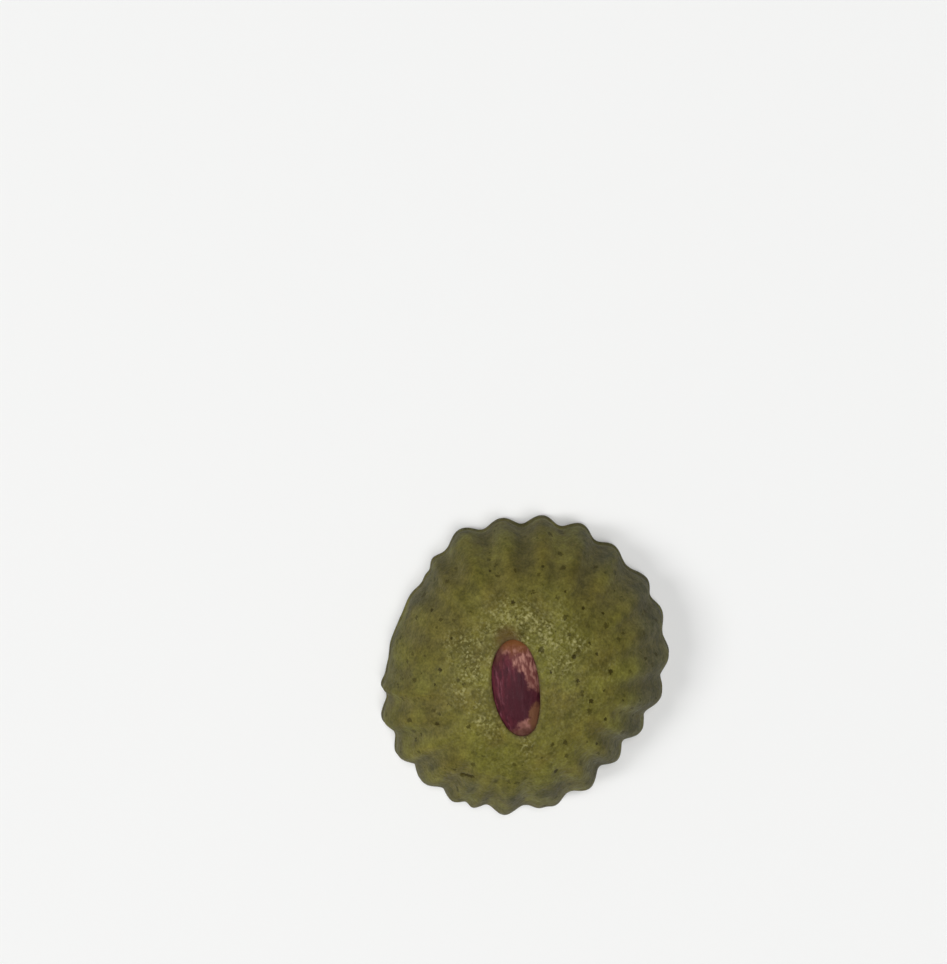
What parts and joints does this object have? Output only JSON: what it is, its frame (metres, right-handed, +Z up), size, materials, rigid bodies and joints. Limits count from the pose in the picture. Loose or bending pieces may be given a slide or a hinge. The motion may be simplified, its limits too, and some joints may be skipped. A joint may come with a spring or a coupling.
{
  "type": "pistachio nougat sweet",
  "caption": "Green pistachio nougat turned out of a fluted mould: a low dome with a flat underside and a whole pistachio kernel pressed into its top.",
  "frame": {"origin": "on the flat underside, under the middle of the outline's box", "axes": "+Z up through the dome's top, +X along the longest way across the outline, +Y along the squeezed way across"},
  "size_m": [0.05, 0.0442, 0.0185],
  "materials": {
    "dough": null,
    "kernel_skin": null
  },
  "bodies": {
    "root": {"nougat_body": "dough", "pistachio_kernel": "kernel_skin"}
  },
  "joints": []
}
